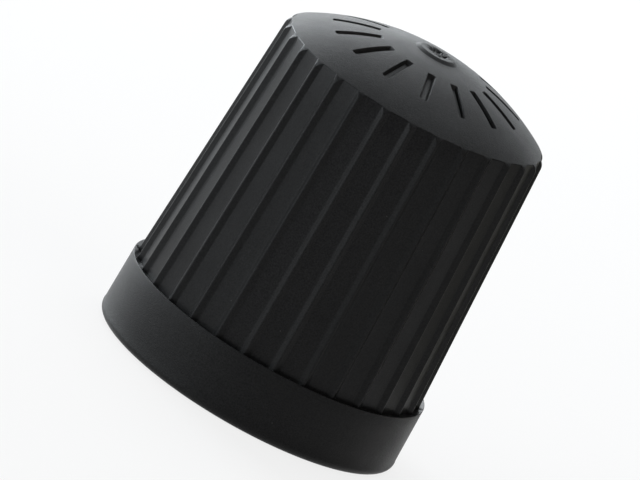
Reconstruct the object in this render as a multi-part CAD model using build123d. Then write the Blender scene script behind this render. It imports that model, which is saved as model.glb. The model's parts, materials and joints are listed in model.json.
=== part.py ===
from build123d import *
from math import atan2, cos, degrees, radians, sin, sqrt, tan
import os

# Tyre valve cap, one plastic moulding that screws on to the end of a valve stem.
# Millimetres. The axis is Z, the crown is up and the open mouth stands on z = 0.

# Socket for the valve stem
thread_diameter = 7.8  # across the bottom of the thread
thread_length = 8.4
mouth_chamfer = 0.5  # 45 degree lead-in
seat_height = 0.7  # 45 degree cone that closes on the end of the stem
pocket_height = 0.7  # room above the seat for the valve's pin
pocket_chamfer = 0.4

# Wall and crown
wall_thickness = 0.7  # between thread and flute, at the top of the thread
crown_thickness = 2.1  # on the axis, from the ceiling to the top of the dome
crown_rise = 1.37  # height of the dome above its corner with the grip
shoulder_fillet = 0.5

# Ribbed grip
grip_taper = 2.95  # degrees a side
rib_count = 30
rib_height = 0.13  # from the flat of a flute to the crest
rib_flank_angle = 47.0  # degrees, up from the flat
rib_crest_fillet = 0.06
rib_crest_flat = 0.02  # between the two rounds of a crest, half way up the grip
round_overrun = 0.01  # how far the rounds of the crests run out past the grip's cone
front_angle = -90.0  # degrees, the way that the middle of a flute faces

# Foot collar
collar_height = 2.2
collar_draft = 1.0  # degrees
ledge_width = 0.03  # flat between the rib crests and the round of the lip
lip_fillet = 0.15
foot_fillet = 0.3

# Gate mark, a low boss with a crater where the sprue was broken off
boss_diameter = 1.46
boss_height = 0.09
boss_draft = 20.0  # degrees
crater_diameter = 0.84
crater_depth = 0.22
crater_floor_diameter = 0.4

# Ring of plain radial marks sunk in the dome
mark_count = 15
mark_inner_radius = 1.9
mark_length = 1.45
mark_width = 0.26
mark_depth = 0.1  # at its ends

# Levels up the axis
thread_bottom = mouth_chamfer
thread_top = thread_bottom + thread_length
pocket_bottom = thread_top + seat_height
ceiling = pocket_bottom + pocket_height
crown_top = ceiling + crown_thickness
shoulder = crown_top - crown_rise
boss_top = crown_top + boss_height
crater_floor = boss_top - crater_depth

# Radii
thread_radius = thread_diameter / 2
mouth_radius = thread_radius + mouth_chamfer
pocket_radius = thread_radius - seat_height
boss_radius = boss_diameter / 2


def crest_radius(level):
    """Radius of the grip's cone, which the rib crests lie on, at a level."""
    return thread_radius + wall_thickness + rib_height + (thread_top - level) * tan(radians(grip_taper))


# Sphere of the dome
shoulder_radius = crest_radius(shoulder)
dome_radius = (shoulder_radius**2 + crown_rise**2) / (2 * crown_rise)
dome_centre = crown_top - dome_radius


def dome_level(radius):
    """Level of the dome at a radius."""
    return dome_centre + sqrt(dome_radius**2 - radius**2)


def corner(section, x, y):
    """The corner of a flat section that lies at a point."""
    return section.vertices().sort_by_distance((x, y, 0))[0]


def turned(section):
    """The solid turned from a half section that is drawn with radius as X and level as Y."""
    return revolve(Plane.XZ * section, Axis.Z)


def grip_blank():
    """Plain cone that stands on the collar, with a rounded shoulder, a dome and the gate mark."""
    boss_foot = dome_level(boss_radius)
    boss_top_radius = boss_radius - (boss_top - boss_foot) * tan(radians(boss_draft))
    gate_mark = Polyline(
        (0, crater_floor),
        (crater_floor_diameter / 2, crater_floor),
        (crater_diameter / 2, boss_top),
        (boss_top_radius, boss_top),
        (boss_radius, boss_foot),
    )
    dome_start = degrees(atan2(shoulder - dome_centre, shoulder_radius))
    dome_end = degrees(atan2(boss_foot - dome_centre, boss_radius))
    dome = CenterArc((0, dome_centre), dome_radius, dome_start, dome_end - dome_start)
    side = Polyline(
        (shoulder_radius, shoulder),
        (crest_radius(collar_height), collar_height),
        (0, collar_height),
        (0, crater_floor),
    )
    section = make_face(gate_mark + dome + side)
    return turned(fillet(corner(section, shoulder_radius, shoulder), shoulder_fillet))


def flute():
    """Cutter for one flat-bottomed flute, out to the middle of the rib on each side of it.

    Its section is drawn with X outwards along the middle of the flute. A rib's points are placed in
    the rib's own frame, outwards and across, and turned by half a pitch to lie beside the flute.
    """
    half_pitch = 180 / rib_count
    flank = radians(rib_flank_angle)
    middle_level = (collar_height + shoulder) / 2
    crest = crest_radius(middle_level)
    top = crest + round_overrun
    half_top = rib_crest_flat / 2 + rib_crest_fillet * tan(flank / 2)

    outside = Vector(2 * crest, 0).rotate(Axis.Z, -half_pitch)
    rib_middle = Vector(top, 0).rotate(Axis.Z, -half_pitch)
    rib_edge = Vector(top, half_top).rotate(Axis.Z, -half_pitch)
    down_flank = Vector(-sin(flank), cos(flank)).rotate(Axis.Z, -half_pitch)
    rib_root = rib_edge + down_flank * ((crest - rib_height - rib_edge.X) / down_flank.X)

    one_side = [outside, rib_middle, rib_edge, rib_root]
    other_side = [Vector(point.X, -point.Y) for point in reversed(one_side)]
    section = make_face(Polyline(*one_side, *other_side, close=True))
    rib_edges = [corner(section, rib_edge.X, rib_edge.Y), corner(section, rib_edge.X, -rib_edge.Y)]
    section = fillet(rib_edges, rib_crest_fillet)

    taper = radians(grip_taper)
    outwards = Vector(cos(taper), 0, sin(taper))
    along = Vector(-sin(taper), 0, cos(taper))
    square_to_flute = Plane(Vector(crest, 0, middle_level) - outwards * crest, outwards, along)
    return extrude(square_to_flute * section, crown_top - collar_height, both=True)


def crown_marks():
    """Cutters for the ring of marks, each with a straight floor along a chord of the dome."""
    outer_radius = mark_inner_radius + mark_length
    inner = Vector(mark_inner_radius, 0, dome_level(mark_inner_radius) - mark_depth)
    outer = Vector(outer_radius, 0, dome_level(outer_radius) - mark_depth)
    inner_end = Plane(inner, x_dir=(0, 1, 0), z_dir=outer - inner)
    section = Rectangle(mark_width, crown_rise, align=(Align.CENTER, Align.MIN))
    cutter = extrude(inner_end * section, (outer - inner).length)
    start = front_angle + 180 / rib_count
    return [Rot(0, 0, start + index * 360 / mark_count) * cutter for index in range(mark_count)]


def collar():
    """Plain ring at the foot, drafted and rounded, still without the socket."""
    top_radius = crest_radius(collar_height) + ledge_width + lip_fillet
    foot_radius = top_radius + collar_height * tan(radians(collar_draft))
    corners = [(0, 0), (foot_radius, 0), (top_radius, collar_height), (0, collar_height)]
    section = make_face(Polyline(*corners, close=True))
    section = fillet(corner(section, top_radius, collar_height), lip_fillet)
    return turned(fillet(corner(section, foot_radius, 0), foot_fillet))


def socket():
    """The hollow inside: lead-in, thread, conical seat and blind pocket."""
    section = make_face(
        Polyline(
            (0, -mouth_chamfer),
            (mouth_radius + mouth_chamfer, -mouth_chamfer),
            (thread_radius, thread_bottom),
            (thread_radius, thread_top),
            (pocket_radius, pocket_bottom),
            (pocket_radius, ceiling),
            (0, ceiling),
            close=True,
        )
    )
    return turned(chamfer(corner(section, pocket_radius, ceiling), pocket_chamfer))


def valve_cap():
    """The whole cap: a fluted grip on its collar, hollowed for the valve stem."""
    cutter = flute()
    flutes = [Rot(0, 0, front_angle + index * 360 / rib_count) * cutter for index in range(rib_count)]
    return grip_blank() - flutes - crown_marks() + collar() - socket()


os.makedirs("parts", exist_ok=True)
export_step(valve_cap(), "parts/valve_cap.step")
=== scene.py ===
import json
import math

import bpy
import numpy as np
from mathutils import Matrix, Vector, noise


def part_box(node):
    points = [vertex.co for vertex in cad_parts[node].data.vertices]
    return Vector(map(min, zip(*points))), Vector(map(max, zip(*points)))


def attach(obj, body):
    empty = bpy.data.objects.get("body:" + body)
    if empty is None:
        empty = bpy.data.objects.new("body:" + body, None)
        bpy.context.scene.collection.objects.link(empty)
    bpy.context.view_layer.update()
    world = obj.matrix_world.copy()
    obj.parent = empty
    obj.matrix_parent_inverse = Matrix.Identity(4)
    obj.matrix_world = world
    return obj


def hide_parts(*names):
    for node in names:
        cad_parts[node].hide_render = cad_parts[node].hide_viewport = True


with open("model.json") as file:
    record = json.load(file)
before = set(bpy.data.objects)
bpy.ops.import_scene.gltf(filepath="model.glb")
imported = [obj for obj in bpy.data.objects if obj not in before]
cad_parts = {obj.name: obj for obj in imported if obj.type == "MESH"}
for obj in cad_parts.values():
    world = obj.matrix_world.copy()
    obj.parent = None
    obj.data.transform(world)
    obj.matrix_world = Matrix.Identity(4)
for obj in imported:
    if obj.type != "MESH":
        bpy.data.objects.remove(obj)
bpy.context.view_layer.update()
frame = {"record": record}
MM = 0.001

# Tyre valve cap, one moulding in black plastic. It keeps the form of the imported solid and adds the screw
# thread, the torn gate and the moulded grain. Its sizes are in millimetres and become metres in the mesh.

# Socket for the valve stem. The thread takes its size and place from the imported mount.
socket = next(mount for mount in frame["record"]["mounts"] if mount["name"] == "valve_socket")
thread_radius = socket["dims"]["r_mm"]  # at the bottom of the thread
thread_length = socket["dims"]["length_mm"]
thread_middle = socket["pos_m"][2] / MM
thread_bottom = thread_middle - thread_length / 2
thread_top = thread_middle + thread_length / 2
thread_pitch = 25.4 / 32  # 32 threads to the inch
thread_depth = 0.43
thread_run_out = 0.8  # length over which the thread fades at each end
mouth_chamfer = thread_bottom  # 45 degree lead-in
seat_height = 0.7  # 45 degree cone that closes on the end of the stem
pocket_height = 0.7
pocket_chamfer = 0.4

# Wall and crown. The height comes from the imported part.
cap_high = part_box("valve_cap")[1]
solid_boss_height = 0.09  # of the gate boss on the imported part
crown_top = cap_high.z / MM - solid_boss_height
crown_rise = 1.37  # height of the dome above its corner with the grip
shoulder = crown_top - crown_rise
shoulder_fillet = 0.36
wall_thickness = 0.685  # between thread and flute, at the top of the thread

# Ribbed grip
grip_taper = math.radians(2.95)
rib_count = 30
rib_height = 0.145
rib_flank_angle = math.radians(43.0)
rib_crest_fillet = 0.06
rib_root_fillet = 0.1
run_out_round = 0.05  # where a flute runs out in the shoulder's round
run_out_least = 0.012  # least length of that round on each side
front_angle = math.radians(-90.0)  # the way that the middle of a flute faces

# Foot collar
collar_height = 2.2
collar_draft = math.radians(1.0)
ledge_width = 0.14
ledge_drop = 0.08  # from the lip down to the ribs
lip_fillet = 0.015
foot_fillet = 0.24
parting_step = 0.012  # flash line where the round of the foot starts

# Gate mark, a low boss with a torn crater where the sprue was broken off
boss_height = 0.055
boss_top = crown_top + boss_height
boss_radius = 0.73
boss_wall = 0.14  # width of its sloping side
crater_radius = 0.42
crater_floor_radius = 0.2
crater_depth = 0.07
crater_shift = 0.07  # away from the axis
tear_height = 0.12
tear_fade = 0.1  # on each side of the crater's edge

# Ring of plain radial marks sunk in the dome, one above every second rib
mark_inner = 1.9
mark_outer = 3.35
mark_half_width = 0.13
mark_depth = 0.14  # at its ends
mark_corner = 0.05
mark_wall = 0.07  # width of its sloping sides
mark_lip = 0.015  # how far the round of its edge reaches out
marks_end = 3.45  # radius of the plain dome next to the marks

# Share of the moulded grain on each surface
full_grain = 1.0  # crown and collar
rib_grain = 0.0
mark_grain = 0.5
torn_grain = 0.4
thread_grain = 0.3
socket_grain = 0.5

# Fineness of the mesh
crest_points = 4  # on half a rib
root_points = 5
crater_rings = 9
boss_rings = 8
mark_rings = 9
dome_rings = 6  # from the marks to the shoulder
shoulder_rings = 10
run_out_rings = 5
rib_rings = 9
lip_rings = 8
foot_rings = 10
socket_columns = 120
thread_rows = 12  # in one pitch
weld_digits = 6
sharp_angle = math.radians(38.0)


def crest_radius(level):
    """Radius of the cone that the rib crests lie on."""
    return thread_radius + wall_thickness + rib_height + (thread_top - level) * math.tan(grip_taper)


def smooth(start, end, value):
    """0 before start, 1 after end, with a soft step between."""
    share = np.clip((value - start) / (end - start), 0.0, 1.0)
    return share * share * (3 - 2 * share)


# The crown's section: a dome, and a round between the dome and the grip's cone
shoulder_radius = crest_radius(shoulder)
dome_radius = (shoulder_radius**2 + crown_rise**2) / (2 * crown_rise)
dome_centre = np.array([0.0, crown_top - dome_radius])
grip_out = np.array([math.cos(grip_taper), math.sin(grip_taper)])
grip_up = np.array([-math.sin(grip_taper), math.cos(grip_taper)])
from_dome = np.array([shoulder_radius, shoulder]) - shoulder_fillet * grip_out - dome_centre
along = from_dome @ grip_up
excess = from_dome @ from_dome - (dome_radius - shoulder_fillet) ** 2
round_centre = dome_centre + from_dome + (math.sqrt(along**2 - excess) - along) * grip_up
round_end = math.atan2(*(round_centre - dome_centre)[::-1]) - grip_taper


def dome_level(radius):
    """Height of the dome at a radius."""
    return dome_centre[1] + np.sqrt(dome_radius**2 - radius**2)


def on_round(turn):
    """Radius and level on the shoulder's round, by its turn from the grip's cone."""
    angle = grip_taper + turn
    return (
        round_centre[0] + shoulder_fillet * np.cos(angle),
        round_centre[1] + shoulder_fillet * np.sin(angle),
    )


def rib_section():
    """Angles from a rib's middle to a flute's middle, and depths below the rib's crest."""
    half_pitch = math.pi / rib_count
    crest = crest_radius((collar_height + shoulder) / 2)
    floor = crest - rib_height
    turns = np.linspace(0, rib_flank_angle, crest_points)
    across = rib_crest_fillet * np.sin(turns)
    drop = rib_crest_fillet * (1 - np.cos(turns))

    slope = math.tan(rib_flank_angle)
    reach = floor - (crest - drop[-1] + across[-1] * slope) * math.cos(half_pitch)
    root_across = reach / (math.sin(half_pitch) - slope * math.cos(half_pitch))
    root = np.array([root_across, drop[-1] + (root_across - across[-1]) * slope])
    tangent = rib_root_fillet * math.tan((rib_flank_angle - half_pitch) / 2)
    above = root - tangent * np.array([math.cos(rib_flank_angle), math.sin(rib_flank_angle)])
    beyond = root + tangent * np.array([math.cos(half_pitch), math.sin(half_pitch)])
    middle = np.array([floor * math.sin(half_pitch), crest - floor * math.cos(half_pitch)])

    shares = np.linspace(0, 1, root_points)
    lower = [(1 - s) ** 2 * above + 2 * s * (1 - s) * root + s**2 * beyond for s in shares]
    lower += [(beyond + middle) / 2, middle]
    across = np.r_[across, [point[0] for point in lower]]
    outwards = crest - np.r_[drop, [point[1] for point in lower]]
    return np.arctan2(across, outwards), crest - np.hypot(across, outwards)


# The columns of the outside: on each rib, from the flute's middle on one side to that on the other
rib_angles, rib_depths = rib_section()
half_steps = len(rib_angles) - 1
steps = np.arange(1 - half_steps, half_steps + 1)
column_rib = np.repeat(np.arange(rib_count), len(steps))
column_side = np.tile(np.sign(steps), rib_count)
column_place = np.tile(np.abs(steps), rib_count)
rib_middles = front_angle + (column_rib + 0.5) * 2 * math.pi / rib_count
even_angles = np.arange(half_steps + 1) * math.pi / rib_count / half_steps

# The columns of the socket, evenly spaced
socket_angles = np.arange(socket_columns) * 2 * math.pi / socket_columns


def column_angles(offsets):
    """Angle of each column, from the offsets of half a rib's columns."""
    return rib_middles + column_side * np.asarray(offsets)[column_place]


def mark_offsets(radius):
    """Distances from a mark's middle line to the middle of the next flute, as many as a rib section has."""
    edge = mark_half_width + mark_lip
    near = np.array([0, 0.4, 0.62, 0.76, 0.9, 1.0]) * edge
    last = radius * math.pi / rib_count
    far = edge + (last - edge) * np.array([0.12, 0.34, 0.56, 0.78, 1.0])
    return np.r_[near, far]


def mark_depths(offsets, radius):
    """How deep the crown's marks are cut at each column. Their floors are straight."""
    half_length = (mark_outer - mark_inner) / 2
    beside = np.abs(offsets) - mark_half_width + mark_corner
    beyond = np.abs(radius - mark_inner - half_length) - half_length + mark_corner
    outside = np.hypot(np.maximum(beside, 0), np.maximum(beyond, 0))
    distance = outside + np.minimum(np.maximum(beside, beyond), 0) - mark_corner
    ends = np.array([mark_inner, mark_outer])
    depth = mark_depth + dome_level(radius) - np.interp(radius, ends, dome_level(ends))
    return np.where(column_rib % 2 == 0, depth * smooth(mark_lip, mark_lip - mark_wall, distance), 0.0)


class Skin:
    """A closed skin made from rings of points, with a share of grain at each point."""

    def __init__(self):
        self.points, self.grain, self.faces, self.count = [], [], [], 0

    def add(self, angles, radii, levels, grain, shift=0.0):
        """A new ring, moved along X by the shift. Gives the numbers of its points."""
        angles, radii, levels, grain = np.broadcast_arrays(angles, radii, levels, grain)
        x, y = radii * np.cos(angles) + shift, radii * np.sin(angles)
        self.points.append(np.stack([x, y, levels], axis=-1))
        self.grain.append(grain)
        self.count += len(angles)
        return np.arange(self.count - len(angles), self.count)

    def pole(self, level, grain, shift=0.0):
        """A ring of one point, for the middle of an end."""
        return self.add(np.zeros(1), 0.0, level, grain, shift)

    def join(self, first, second):
        """Faces between two rings, with the outside on the left of the way from first to second."""
        if len(second) == 1:
            second = np.repeat(second, len(first))
        if len(first) == 1:
            first = np.repeat(first, len(second))
        if len(first) == len(second):
            self.faces.extend(zip(first, second, np.roll(second, -1), np.roll(first, -1)))
            return
        a = b = 0
        while a < len(first) or b < len(second):
            here, there = first[a % len(first)], second[b % len(second)]
            if b >= len(second) or (a < len(first) and (a + 1) * len(second) <= (b + 1) * len(first)):
                self.faces.append((here, there, first[(a + 1) % len(first)]))
                a += 1
            else:
                self.faces.append((here, there, second[(b + 1) % len(second)]))
                b += 1

    def join_all(self, rings):
        for first, second in zip(rings, rings[1:]):
            self.join(first, second)

    def mesh(self, name):
        """The skin as a mesh in metres, with points in one place welded."""
        points = np.concatenate(self.points)
        places = np.round(points, weld_digits)
        _, kept, place = np.unique(places, axis=0, return_index=True, return_inverse=True)
        place = place.ravel()
        faces = []
        for face in self.faces:
            corners = list(dict.fromkeys(int(place[corner]) for corner in face))
            if len(corners) > 2:
                faces.append(corners)
        mesh = bpy.data.meshes.new(name)
        mesh.from_pydata((points[kept] * MM).tolist(), [], faces)
        grain = mesh.attributes.new("grain", "FLOAT", "POINT")
        grain.data.foreach_set("value", np.concatenate(self.grain)[kept].astype(np.float32))
        mesh.polygons.foreach_set("use_smooth", np.ones(len(mesh.polygons), bool))
        mesh.set_sharp_from_angle(angle=sharp_angle)
        mesh.update()
        return mesh


def uneven(x, y, layer, size):
    """Noise from -1 to 1 at points in millimetres, with detail of about the given size."""
    return np.array([noise.noise(Vector((px / size, py / size, layer))) for px, py in zip(x, y)])


def gate_mark(skin):
    """Rings from the middle of the torn gate out to the dome round it."""
    first_radius, past_crater, before_wall, past_wall = 0.06, 0.04, 0.02, 0.03
    inside = np.linspace(first_radius, crater_radius + past_crater, crater_rings)
    wall = np.linspace(boss_radius - boss_wall - before_wall, boss_radius + past_wall, boss_rings)
    dome_radii = (0.84, 1.0, 1.2, 1.36)
    coarse_share = 0.65
    angles = column_angles(even_angles)
    rings = []
    for radius in np.r_[inside, wall, dome_radii]:
        dome = dome_level(radius)
        boss = dome + (boss_top - dome) * np.clip((boss_radius - radius) / boss_wall, 0.0, 1.0)
        crater = boss_top - crater_depth * smooth(crater_radius, crater_floor_radius, radius)
        torn = smooth(crater_radius + tear_fade, crater_radius - tear_fade, radius)
        shift = crater_shift * smooth(boss_radius - boss_wall, crater_radius, radius)
        x, y = radius * np.cos(angles), radius * np.sin(angles)
        coarse, fine = uneven(x, y, layer=3.7, size=0.2), uneven(x, y, layer=9.1, size=0.08)
        rough = coarse_share * coarse + (1 - coarse_share) * fine
        levels = np.minimum(min(boss, crater) + tear_height * torn * rough, boss_top)
        grain = full_grain + (torn_grain - full_grain) * torn
        rings.append(skin.add(angles, radius, levels, grain, shift))
    return rings


def crown_marks(skin):
    """Rings over the dome, with the sunk radial marks."""
    plain_radii = (1.62, 1.78)
    end_steps = np.array([-0.03, -0.015, 0.005, 0.025, 0.05, 0.08])  # from the end of a mark inwards
    between = np.linspace(mark_inner, mark_outer, mark_rings)[1:-1]
    radii = np.r_[plain_radii, mark_inner + end_steps, between, mark_outer - end_steps[::-1], marks_end]
    rings = []
    for radius in radii:
        offsets = mark_offsets(radius)[column_place]
        depths = mark_depths(offsets, radius)
        grain = full_grain + (mark_grain - full_grain) * depths / mark_depth
        angles = rib_middles + column_side * offsets / radius
        rings.append(skin.add(angles, radius, dome_level(radius) - depths, grain))
    return rings


def grip(skin):
    """Rings from the dome over the shoulder and down the ribs, each flute ending in its own arch."""
    rings = []
    last_marks = mark_offsets(marks_end) / marks_end
    end_radius = on_round(round_end)[0]
    for radius in np.linspace(marks_end, end_radius, dome_rings)[1:-1]:
        share = (radius - marks_end) / (end_radius - marks_end)
        angles = column_angles(last_marks + (rib_angles - last_marks) * share)
        rings.append(skin.add(angles, radius, dome_level(radius), full_grain))

    angles = column_angles(rib_angles)
    turns = np.arccos(1 - np.maximum(rib_depths, 0) * math.cos(grip_taper) / shoulder_fillet)
    ease = np.maximum(run_out_round * np.tan(turns / 2), run_out_least)
    corner = np.stack(on_round(turns))
    after = np.stack(on_round(turns + ease / shoulder_fillet))
    before = corner - ease * grip_up[:, None]
    for share in np.linspace(0, 1, shoulder_rings)[:-1]:
        radii, levels = on_round(round_end + (turns + ease / shoulder_fillet - round_end) * share)
        rings.append(skin.add(angles, radii[column_place], levels[column_place], full_grain))
    for share in np.linspace(0, 1, run_out_rings):
        bend = (1 - share) ** 2 * after + 2 * share * (1 - share) * corner + share**2 * before
        grain = full_grain + (rib_grain - full_grain) * share
        rings.append(skin.add(angles, bend[0][column_place], bend[1][column_place], grain))
    for share in np.linspace(0, 1, rib_rings)[1:]:
        levels = before[1] + (collar_height - ledge_drop - before[1]) * share
        radii = crest_radius(levels) - rib_depths
        rings.append(skin.add(angles, radii[column_place], levels[column_place], rib_grain))
    return rings


def collar(skin):
    """Rings over the ledge, the lip and the wall of the collar to the flat rim."""
    draft_cos, draft_sin = math.cos(collar_draft), math.sin(collar_draft)
    lip_radius = crest_radius(collar_height) + ledge_width + lip_fillet
    foot_radius = lip_radius + collar_height * math.tan(collar_draft)
    lip_centre = lip_radius - lip_fillet * (1 - draft_sin) / draft_cos
    foot_centre = foot_radius - foot_fillet * (1 + draft_sin) / draft_cos
    section = []
    ledge_slope = math.atan2(ledge_drop, ledge_width)
    for turn in np.linspace(math.pi / 2 + ledge_slope, collar_draft, lip_rings):
        level = collar_height - lip_fillet + lip_fillet * math.sin(turn)
        section.append((lip_centre + lip_fillet * math.cos(turn), level))
    wall_top = section[-1]
    wall_foot = (foot_centre + foot_fillet * draft_cos, foot_fillet * (1 + draft_sin))
    for share in (0.25, 0.5, 0.75, 0.97):
        section.append(tuple(a + (b - a) * share for a, b in zip(wall_top, wall_foot)))
    for turn in np.linspace(collar_draft, -math.pi / 2, foot_rings):
        radius = foot_centre + (foot_fillet + parting_step) * math.cos(turn)
        section.append((radius, foot_fillet + foot_fillet * math.sin(turn)))

    fade_rings = 3
    rings = []
    for index, (radius, level) in enumerate(section):
        share = min(index / (lip_rings - 1), 1.0)
        angles = column_angles(rib_angles + (even_angles - rib_angles) * share)
        grain = rib_grain + (full_grain - rib_grain) * min(index / fade_rings, 1.0)
        rings.append(skin.add(angles, radius, level, grain))
    return rings


def thread_wall(skin):
    """The screw thread, on rows that climb with the helix, and its first and last rings."""
    last = math.ceil(thread_rows * (thread_length / thread_pitch + 1))
    places = np.arange(socket_columns) / socket_columns
    flank_places, flank_heights = [0, 0.2, 0.46, 0.66, 0.92, 1], [0, 0, 1, 1, 0, 0]
    shape = np.interp((np.arange(thread_rows) + 0.5) / thread_rows, flank_places, flank_heights)
    turns = []
    for row in range(last + 1):
        climb = row / thread_rows - 1 + places
        levels = np.clip(thread_bottom + climb * thread_pitch, thread_bottom, thread_top)
        fade = smooth(thread_bottom, thread_bottom + thread_run_out, levels)
        fade = fade * smooth(thread_top, thread_top - thread_run_out, levels)
        radii = thread_radius - thread_depth * shape[row % thread_rows] * fade
        turns.append(skin.add(socket_angles, radii, levels, thread_grain))
    for row in range(last):
        ahead = min(row + thread_rows, last)
        lower = np.r_[turns[row], turns[ahead][0]]
        upper = np.r_[turns[row + 1], turns[min(ahead + 1, last)][0]]
        skin.faces.extend(zip(lower[:-1], upper[:-1], upper[1:], lower[1:]))
    return turns[0], turns[-1]


def cap_skin():
    """The whole cap: gate, crown, grip, collar, rim and the threaded socket."""
    skin = Skin()
    outside = [skin.pole(boss_top - crater_depth, torn_grain, crater_shift)]
    outside += gate_mark(skin) + crown_marks(skin) + grip(skin) + collar(skin)
    skin.join_all(outside)

    rim_width, edge_break = 0.03, 0.02
    mouth_radius = thread_radius + mouth_chamfer
    mouth = [
        (mouth_radius + rim_width, 0.0),
        (mouth_radius - edge_break, edge_break),
        (mouth_radius - mouth_chamfer / 2, mouth_chamfer / 2),
    ]
    mouth_angles = socket_angles + column_angles(even_angles)[0]
    lead_in = [skin.add(mouth_angles, radius, level, socket_grain) for radius, level in mouth]
    thread_start, thread_end = thread_wall(skin)
    pocket_radius = thread_radius - seat_height
    pocket_bottom = thread_top + seat_height
    ceiling = pocket_bottom + pocket_height
    pocket = [
        (pocket_radius + seat_height / 2, pocket_bottom - seat_height / 2),
        (pocket_radius, pocket_bottom),
        (pocket_radius, ceiling - pocket_chamfer),
        (pocket_radius - pocket_chamfer, ceiling),
        (pocket_radius / 2, ceiling),
    ]
    upper = [skin.add(socket_angles, radius, level, socket_grain) for radius, level in pocket]
    upper.append(skin.pole(ceiling, socket_grain))
    skin.join_all([outside[-1], *lead_in, thread_start])
    skin.join_all([thread_end, *upper])
    return skin


def add_node(tree, kind, inputs=None, **settings):
    """A new node with its settings, and its inputs set to values or linked to sockets."""
    node = tree.nodes.new(kind)
    for name, value in settings.items():
        setattr(node, name, value)
    for name, value in (inputs or {}).items():
        if isinstance(value, bpy.types.NodeSocket):
            tree.links.new(value, node.inputs[name])
        else:
            node.inputs[name].default_value = value
    return node


def noise_value(tree, place, scale, detail, roughness):
    """Noise from 0 to 1 at a place in metres."""
    inputs = {"Vector": place, "Scale": scale, "Detail": detail, "Roughness": roughness}
    return add_node(tree, "ShaderNodeTexNoise", inputs).outputs["Fac"]


def mapped(tree, value, start, end, low, high):
    """Low where a value is at start, high where it is at end, and even between."""
    inputs = {"Value": value, "From Min": start, "From Max": end, "To Min": low, "To Max": high}
    return add_node(tree, "ShaderNodeMapRange", inputs).outputs["Result"]


def reckoned(tree, operation, first, second, clamp=False):
    """Two values added or multiplied."""
    inputs = {0: first, 1: second}
    return add_node(tree, "ShaderNodeMath", inputs, operation=operation, use_clamp=clamp).outputs["Value"]


def black_plastic():
    """Satin black moulded plastic, grained by spark erosion where the mesh says so, with painted shade in
    the grain's pits and a little dust.
    """
    # The darker of the first two colours is painted shade for the grain's pits; the other is the plastic's
    # own black on the tops.
    pit_shade_colour, top_colour = (0.002, 0.0021, 0.0025, 1.0), (0.012, 0.012, 0.0122, 1.0)
    plain_colour = (0.0105, 0.0106, 0.011, 1.0)
    dust_colour = (0.075, 0.075, 0.072, 1.0)
    dust_cover = 0.55
    rib_roughness, grain_roughness, plain_roughness = 0.33, 0.46, 0.45
    rib_bump, grain_bump = 0.12, 0.7
    bump_height = 0.011 * MM
    grain_sheen = 0.14

    material = bpy.data.materials.new("black_plastic")
    material.use_nodes = True
    tree = material.node_tree
    shader = tree.nodes["Principled BSDF"]
    place = add_node(tree, "ShaderNodeTexCoord").outputs["Object"]
    grain = add_node(tree, "ShaderNodeAttribute", attribute_name="grain").outputs["Fac"]
    clouds = noise_value(tree, place, scale=700.0, detail=4.0, roughness=0.55)
    pits = noise_value(tree, place, scale=19000.0, detail=2.0, roughness=0.65)
    fine = noise_value(tree, place, scale=45000.0, detail=1.0, roughness=0.5)

    # Painted shade: the colour follows the pits noise that also sets the bump's height, so the grain's
    # hollows are darker than its tops.
    colour = add_node(tree, "ShaderNodeValToRGB", {"Fac": pits})
    low, high = colour.color_ramp.elements
    low.position, low.color = 0.3, pit_shade_colour
    high.position, high.color = 0.7, top_colour
    cells = add_node(tree, "ShaderNodeTexVoronoi", {"Vector": place, "Scale": 1100.0, "Randomness": 1.0})
    dust = mapped(tree, cells.outputs["Distance"], start=0.016, end=0.03, low=dust_cover, high=0.0)
    layers = {"Factor": dust, "A": colour.outputs["Color"], "B": dust_colour}
    dusty = add_node(tree, "ShaderNodeMix", layers, data_type="RGBA")
    tree.links.new(dusty.outputs["Result"], shader.inputs["Base Color"])

    satin = mapped(tree, grain, start=0.0, end=1.0, low=rib_roughness, high=grain_roughness)
    wear = mapped(tree, clouds, start=0.3, end=0.7, low=-0.04, high=0.05)
    rough = reckoned(tree, "ADD", satin, wear, clamp=True)
    tree.links.new(rough, shader.inputs["Roughness"])
    haze = reckoned(tree, "MULTIPLY", grain, grain_sheen)
    tree.links.new(haze, shader.inputs["Sheen Weight"])

    relief = reckoned(tree, "ADD", pits, fine)
    strength = mapped(tree, grain, start=0.0, end=1.0, low=rib_bump, high=grain_bump)
    bump_inputs = {"Strength": strength, "Distance": bump_height, "Height": relief}
    bump = add_node(tree, "ShaderNodeBump", bump_inputs)
    tree.links.new(bump.outputs["Normal"], shader.inputs["Normal"])

    shader.inputs["Base Color"].default_value = plain_colour
    shader.inputs["Roughness"].default_value = plain_roughness
    shader.inputs["Sheen Roughness"].default_value = 0.3
    shader.inputs["IOR"].default_value = 1.5
    shader.inputs["Specular IOR Level"].default_value = 0.14
    return material


cap = bpy.data.objects.new("cap_moulding", cap_skin().mesh("cap_moulding"))
bpy.context.collection.objects.link(cap)
cap.data.materials.append(black_plastic())
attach(cap, "root")
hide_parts("valve_cap")


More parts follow.
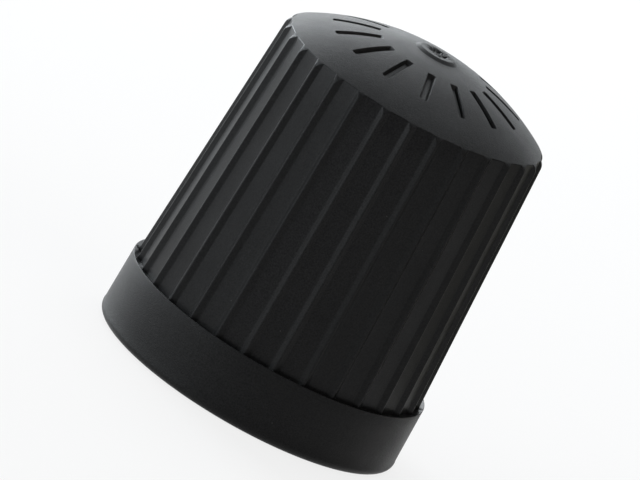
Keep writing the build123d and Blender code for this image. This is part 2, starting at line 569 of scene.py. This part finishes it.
def pale_floor():
    """A wide matt white sheet under the cap, which keeps a soft shadow."""
    sides = 96
    reach = 60 * cap_high.z
    level = -0.01 * MM
    paper_colour, white = (0.7, 0.7, 0.7, 1.0), (1.0, 1.0, 1.0, 1.0)
    white_share = 0.8  # the rest shows the shadow

    turns = [2 * math.pi * side / sides for side in range(sides)]
    corners = [(reach * math.cos(turn), reach * math.sin(turn), level) for turn in turns]
    mesh = bpy.data.meshes.new("floor")
    mesh.from_pydata(corners, [], [list(range(sides))])
    floor = bpy.data.objects.new("floor", mesh)
    bpy.context.collection.objects.link(floor)

    material = bpy.data.materials.new("white_sheet")
    material.use_nodes = True
    tree = material.node_tree
    tree.nodes.clear()
    paper = add_node(tree, "ShaderNodeBsdfDiffuse", {"Color": paper_colour})
    glow = add_node(tree, "ShaderNodeEmission", {"Color": white, "Strength": 1.0})
    path = add_node(tree, "ShaderNodeLightPath").outputs
    seen = reckoned(tree, "ADD", path["Is Camera Ray"], path["Is Glossy Ray"])
    seen = reckoned(tree, "ADD", seen, path["Is Transmission Ray"], clamp=True)
    share = reckoned(tree, "MULTIPLY", seen, white_share)
    mixed = {0: share, 1: paper.outputs["BSDF"], 2: glow.outputs["Emission"]}
    mix = add_node(tree, "ShaderNodeMixShader", mixed)
    add_node(tree, "ShaderNodeOutputMaterial", {"Surface": mix.outputs["Shader"]})
    mesh.materials.append(material)


def softbox(name, azimuth, elevation, distance, width, height, brightness, colour):
    """A flat lamp that faces the cap. Azimuth 0 is the camera's side and 90 the right-hand side."""
    turn, rise = math.radians(azimuth), math.radians(elevation)
    level = Vector((math.sin(turn), -math.cos(turn), 0)) * math.cos(rise)
    toward = level + Vector((0, 0, math.sin(rise)))
    lamp = bpy.data.lights.new(name, "AREA")
    lamp.shape = "RECTANGLE"
    lamp.size, lamp.size_y = width * MM, height * MM
    lamp.energy = brightness * math.pi * lamp.size * lamp.size_y
    lamp.color = colour
    holder = bpy.data.objects.new(name, lamp)
    bpy.context.collection.objects.link(holder)
    holder.location = Vector((0, 0, cap_high.z / 2)) + toward * distance * MM
    holder.rotation_euler = toward.to_track_quat("Z", "Y").to_euler()


def grey_card(azimuth, distance, width, height):
    """A matt grey card that stands beside the cap, out of the camera's sight, and dims its reflections."""
    card_colour = (0.4, 0.375, 0.33, 1.0)
    turn = math.radians(azimuth)
    middle = Vector((math.sin(turn), -math.cos(turn), 0)) * distance * MM
    half = Vector((math.cos(turn), math.sin(turn), 0)) * width / 2 * MM
    rise = Vector((0, 0, height * MM))
    corners = [middle - half, middle + half, middle + half + rise, middle - half + rise]
    mesh = bpy.data.meshes.new("grey_card")
    mesh.from_pydata(corners, [], [(0, 1, 2, 3)])
    card = bpy.data.objects.new("grey_card", mesh)
    bpy.context.collection.objects.link(card)
    material = bpy.data.materials.new("grey_card")
    material.use_nodes = True
    shader = material.node_tree.nodes["Principled BSDF"]
    shader.inputs["Base Color"].default_value = card_colour
    shader.inputs["Roughness"].default_value = 0.9
    mesh.materials.append(material)
    card.visible_camera = card.visible_diffuse = card.visible_shadow = False


def studio():
    """Soft light from behind, above and the left, a little from right and front, and a grey card."""
    dark_grey = (0.02, 0.02, 0.02, 1.0)
    cool, pale_cool = (0.9, 0.96, 1.0), (0.93, 0.97, 1.0)
    warm, pale_warm = (1.0, 0.97, 0.93), (1.0, 0.98, 0.95)
    lamps = [
        # name, azimuth, elevation, distance, width, height, brightness, colour
        ("key_lamp", -130, 12, 160, 80, 80, 17.0, cool),
        ("left_lamp", -75, 14, 160, 200, 80, 4.8, cool),
        ("rim_lamp", -158, 20, 160, 100, 90, 2.7, pale_cool),
        ("back_lamp", 180, 24.5, 170, 220, 150, 1.3, pale_cool),
        ("top_lamp", 180, 66, 170, 100, 100, 2.8, pale_cool),
        ("fill_lamp", 60, 40, 160, 180, 80, 1.6, warm),
        ("front_lamp", 0, 42, 160, 200, 110, 0.4, pale_warm),
    ]
    for lamp in lamps:
        softbox(*lamp)
    grey_card(azimuth=128, distance=14, width=20, height=11)
    world = bpy.data.worlds.new("studio")
    world.use_nodes = True
    world.node_tree.nodes["Background"].inputs["Color"].default_value = dark_grey
    bpy.context.scene.world = world


def photo_camera():
    """Camera at the photograph's angle, turned about its own axis as the cap leans in the picture."""
    azimuth, elevation, roll = math.radians(0.2), math.radians(13.945), math.radians(29.904)
    distance = 415.8 * MM
    aim_level = 6 * MM
    picture_width = 640  # pixels
    aim_right, aim_up = 17.9, 14.0  # pixels, from the middle of the picture
    pixels_a_metre = 31.807 / MM

    right = Vector((math.cos(azimuth), math.sin(azimuth), 0))
    back = Vector((-math.sin(azimuth), math.cos(azimuth), 0))
    up = back * math.sin(elevation) + Vector((0, 0, math.cos(elevation)))
    toward = right.cross(up)
    across = right * math.cos(roll) + up * math.sin(roll)
    upward = up * math.cos(roll) - right * math.sin(roll)
    aim = Vector((0, 0, aim_level))
    aim -= across * (aim_right / pixels_a_metre) + upward * (aim_up / pixels_a_metre)

    data = bpy.data.cameras.new("photo_camera")
    data.sensor_width = 36.0
    data.lens = pixels_a_metre * distance * data.sensor_width / picture_width
    data.clip_start, data.clip_end = 0.01, 10.0
    camera = bpy.data.objects.new("photo_camera", data)
    bpy.context.collection.objects.link(camera)
    turn = Matrix((across, upward, toward)).transposed()
    camera.matrix_world = Matrix.Translation(aim + toward * distance) @ turn.to_4x4()
    bpy.context.scene.camera = camera


pale_floor()
studio()
photo_camera()
bpy.context.scene.view_settings.view_transform = "Standard"
